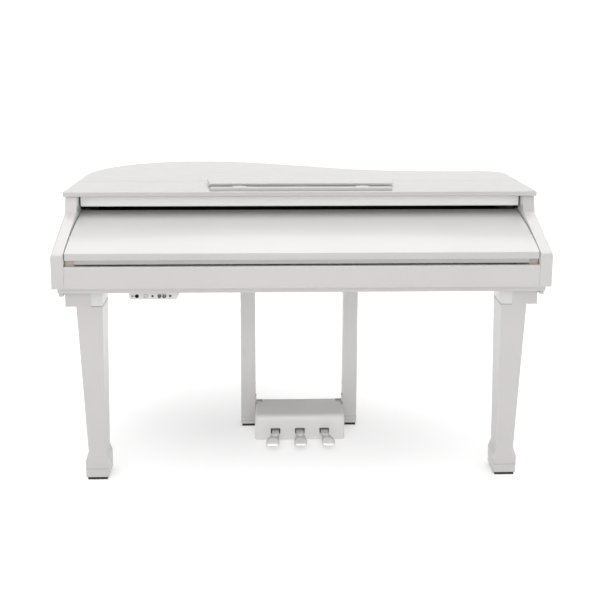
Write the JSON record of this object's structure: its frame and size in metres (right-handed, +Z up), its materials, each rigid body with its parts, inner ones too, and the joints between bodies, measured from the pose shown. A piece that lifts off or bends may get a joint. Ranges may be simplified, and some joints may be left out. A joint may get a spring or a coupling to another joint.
{
  "type": "digital piano",
  "caption": "Small grand-shaped digital piano with a sliding key cover, hinged lid, folding music rest, front legs, rear posts and a pedal box.",
  "frame": {"origin": "floor level under the middle of the bounding box", "axes": "+X to the player's right along the keyboard, +Y from the player towards the tail, +Z up"},
  "size_m": [1.443, 0.88, 0.86],
  "materials": {
    "white_lacquer": "high-gloss white polyester lacquer over fibreboard",
    "bare_wood": "clear sealed pale hardwood",
    "nickel": "bright nickel plate on steel",
    "guide_nylon": "natural nylon",
    "key_white": "satin white moulded plastic",
    "key_black": "satin black moulded plastic",
    "cheek_plastic": "warm grey satin plastic",
    "panel_plastic": "white moulded plastic",
    "display_window": "smoked display window",
    "button_grey": "grey moulded plastic",
    "circuit_board": "green solder mask",
    "speaker_black": "black powder coat",
    "pad_rubber": "black rubber",
    "bolt_steel": "zinc-plated steel",
    "pedal_metal": "nickel-plated, softly polished",
    "jack_housing": "light grey satin plastic",
    "port_black": "black plastic"
  },
  "bodies": {
    "case": {"left_side_arm": "white_lacquer", "right_side_arm": "white_lacquer", "case_rim": "white_lacquer", "bottom_board": "white_lacquer", "key_slip": "white_lacquer", "front_rail": "white_lacquer", "case_brace": "bare_wood", "top_front_board": "white_lacquer", "lid_hinge_case_leaves": "nickel", "lid_prop_bracket": "nickel", "music_ledge": "white_lacquer", "music_rest_hinge_bases": "nickel", "key_frame": "bare_wood", "key_pivot_rod": "nickel", "cheek_blocks": "cheek_plastic", "control_panel": "panel_plastic", "panel_display": "display_window", "panel_circuit_board": "circuit_board", "speaker_frames": "speaker_black", "speaker_cones": "speaker_black", "speaker_grilles": "speaker_black", "main_circuit_board": "circuit_board", "left_front_leg": "white_lacquer", "right_front_leg": "white_lacquer", "rear_posts": "white_lacquer", "leg_shoes": "white_lacquer", "floor_pads": "pad_rubber", "leg_bolts": "bolt_steel", "pedal_box_cover": "white_lacquer", "pedal_base": "bolt_steel", "pedal_pivot_shaft": "nickel", "pedal_box_brackets": "nickel", "pedal_springs": "bolt_steel", "jack_box": "jack_housing", "headphone_jacks": "nickel", "panel_ports": "port_black"},
    "lid": {"main_lid": "white_lacquer", "lid_hinge_lid_leaves": "nickel"},
    "lid_prop": {"lid_prop": "bare_wood"},
    "music_rest": {"music_rest": "white_lacquer", "music_rest_hinge_leaves": "nickel"},
    "music_rest_strut": {"music_rest_strut": "nickel"},
    "key_cover": {"key_cover": "white_lacquer", "cover_guide_pins": "guide_nylon", "cover_finger_rail": "white_lacquer"},
    "white_keys_bass": {"white_keys_bass": "key_white"},
    "black_keys_bass": {"black_keys_bass": "key_black"},
    "white_keys_treble": {"white_keys_treble": "key_white"},
    "black_keys_treble": {"black_keys_treble": "key_black"},
    "white_key_c": {"white_key_c": "key_white"},
    "black_key_c_sharp": {"black_key_c_sharp": "key_black"},
    "white_key_d": {"white_key_d": "key_white"},
    "black_key_d_sharp": {"black_key_d_sharp": "key_black"},
    "white_key_e": {"white_key_e": "key_white"},
    "voice_button": {"voice_button": "button_grey"},
    "power_button": {"power_button": "button_grey"},
    "volume_knob": {"volume_knob": "button_grey"},
    "left_pedal": {"left_pedal": "pedal_metal"},
    "middle_pedal": {"middle_pedal": "pedal_metal"},
    "right_pedal": {"right_pedal": "pedal_metal"}
  },
  "joints": [
    {"name": "cover_slide", "type": "hinge", "parent": "case", "child": "key_cover", "pos_m": [0, -0.028, -0.2115], "axis": [-1, 0, 0], "range_deg": [0, 13.2]},
    {"name": "lid_open", "type": "hinge", "parent": "case", "child": "lid", "pos_m": [-0.7182, 0.02, 0.8258], "axis": [0, -1, 0], "range_deg": [0, 16]},
    {"name": "lid_prop_swing", "type": "hinge", "parent": "case", "child": "lid_prop", "pos_m": [0.185, 0.095, 0.779], "axis": [0, -1, 0], "range_deg": [0, 65]},
    {"name": "music_rest_tilt", "type": "hinge", "parent": "case", "child": "music_rest", "pos_m": [0, -0.18, 0.85], "axis": [1, 0, 0], "range_deg": [0, 70]},
    {"name": "music_rest_strut_swing", "type": "hinge", "parent": "music_rest", "child": "music_rest_strut", "pos_m": [0, -0.136, 0.8552], "axis": [1, 0, 0], "range_deg": [-125, 0]},
    {"name": "sharp_key_c_press", "type": "hinge", "parent": "case", "child": "black_key_c_sharp", "pos_m": [0, -0.178, 0.65], "axis": [1, 0, 0], "range_deg": [0, 2.4], "stiffness_Nm_per_rad": 0.6, "springref_deg": -22.92},
    {"name": "sharp_key_d_press", "type": "hinge", "parent": "case", "child": "black_key_d_sharp", "pos_m": [0, -0.178, 0.65], "axis": [1, 0, 0], "range_deg": [0, 2.4], "stiffness_Nm_per_rad": 0.6, "springref_deg": -22.92},
    {"name": "sharp_keys_bass_press", "type": "hinge", "parent": "case", "child": "black_keys_bass", "pos_m": [0, -0.178, 0.65], "axis": [1, 0, 0], "range_deg": [0, 2.4], "stiffness_Nm_per_rad": 9.6, "springref_deg": -22.92},
    {"name": "sharp_keys_treble_press", "type": "hinge", "parent": "case", "child": "black_keys_treble", "pos_m": [0, -0.178, 0.65], "axis": [1, 0, 0], "range_deg": [0, 2.4], "stiffness_Nm_per_rad": 10.8, "springref_deg": -22.92},
    {"name": "white_key_c_press", "type": "hinge", "parent": "case", "child": "white_key_c", "pos_m": [0, -0.178, 0.65], "axis": [1, 0, 0], "range_deg": [0, 2.4], "stiffness_Nm_per_rad": 0.6, "springref_deg": -22.92},
    {"name": "white_key_d_press", "type": "hinge", "parent": "case", "child": "white_key_d", "pos_m": [0, -0.178, 0.65], "axis": [1, 0, 0], "range_deg": [0, 2.4], "stiffness_Nm_per_rad": 0.6, "springref_deg": -22.92},
    {"name": "white_key_e_press", "type": "hinge", "parent": "case", "child": "white_key_e", "pos_m": [0, -0.178, 0.65], "axis": [1, 0, 0], "range_deg": [0, 2.4], "stiffness_Nm_per_rad": 0.6, "springref_deg": -22.92},
    {"name": "white_keys_bass_press", "type": "hinge", "parent": "case", "child": "white_keys_bass", "pos_m": [0, -0.178, 0.65], "axis": [1, 0, 0], "range_deg": [0, 2.4], "stiffness_Nm_per_rad": 13.8, "springref_deg": -22.92},
    {"name": "white_keys_treble_press", "type": "hinge", "parent": "case", "child": "white_keys_treble", "pos_m": [0, -0.178, 0.65], "axis": [1, 0, 0], "range_deg": [0, 2.4], "stiffness_Nm_per_rad": 15.6, "springref_deg": -22.92},
    {"name": "pedal_left_press", "type": "hinge", "parent": "case", "child": "left_pedal", "pos_m": [-0.08, -0.06, 0.0305], "axis": [1, 0, 0], "range_deg": [0, 3.5], "stiffness_Nm_per_rad": 6, "springref_deg": -17.19},
    {"name": "pedal_middle_press", "type": "hinge", "parent": "case", "child": "middle_pedal", "pos_m": [0, -0.06, 0.0305], "axis": [1, 0, 0], "range_deg": [0, 3.5], "stiffness_Nm_per_rad": 6, "springref_deg": -17.19},
    {"name": "pedal_right_press", "type": "hinge", "parent": "case", "child": "right_pedal", "pos_m": [0.08, -0.06, 0.0305], "axis": [1, 0, 0], "range_deg": [0, 3.5], "stiffness_Nm_per_rad": 6, "springref_deg": -17.19},
    {"name": "voice_button_press", "type": "slide", "parent": "case", "child": "voice_button", "axis": [0, 0, -1], "range_m": [0, 0.0012], "stiffness_N_per_m": 400, "springref_m": -0.0015},
    {"name": "power_button_press", "type": "slide", "parent": "case", "child": "power_button", "axis": [0, 0, -1], "range_m": [0, 0.0012], "stiffness_N_per_m": 400, "springref_m": -0.0015},
    {"name": "volume_turn", "type": "hinge", "parent": "case", "child": "volume_knob", "pos_m": [-0.54, -0.236, 0.7], "axis": [0, 0, -1], "range_deg": [0, 280]}
  ],
  "couplings": [
    {"joint": "lid_prop_swing", "follows": "lid_open", "ratio": 4},
    {"joint": "music_rest_strut_swing", "follows": "music_rest_tilt", "ratio": -1.714}
  ]
}
